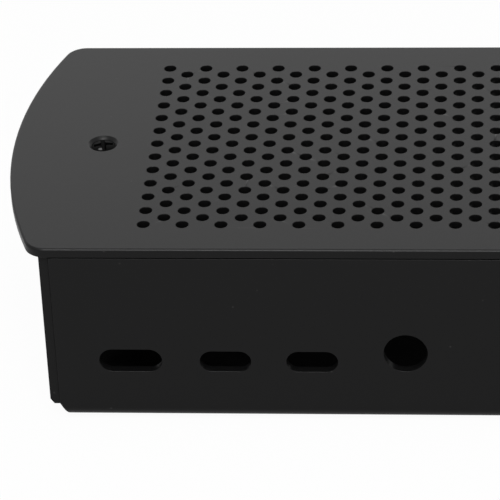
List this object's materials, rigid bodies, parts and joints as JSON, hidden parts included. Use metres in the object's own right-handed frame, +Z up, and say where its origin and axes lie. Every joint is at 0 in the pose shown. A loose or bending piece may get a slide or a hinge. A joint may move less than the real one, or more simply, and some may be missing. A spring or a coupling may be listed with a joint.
{
  "type": "single board computer case",
  "caption": "Folded sheet-metal case for a credit-card sized single board computer, with board standoffs, port cut-outs and a flat, vented, screwed-on lid with bowed ends.",
  "frame": {"origin": "on the surface that the feet stand on, under the middle of the case", "axes": "+Z up; -Y is the long wall with the power, video and headphone openings; +X runs to the right of it, towards the end wall with the socket windows"},
  "size_m": [0.1062, 0.0624, 0.0329],
  "materials": {
    "black_powder_coat": "matte black fine-grained powder coat on folded steel sheet",
    "black_screw": "black zinc-nickel plated steel, slightly glossy",
    "zinc_hardware": "clear zinc plated steel",
    "black_rubber": "matte black rubber"
  },
  "bodies": {
    "root": {"chassis": "black_powder_coat", "lid": "black_powder_coat", "lid_screw_left": "black_screw", "lid_screw_right": "black_screw", "clinch_nut_left": "zinc_hardware", "clinch_nut_right": "zinc_hardware", "standoff_front_left": "zinc_hardware", "standoff_front_right": "zinc_hardware", "standoff_back_left": "zinc_hardware", "standoff_back_right": "zinc_hardware", "foot_front_left": "black_rubber", "foot_front_right": "black_rubber", "foot_back_left": "black_rubber", "foot_back_right": "black_rubber"}
  },
  "joints": []
}
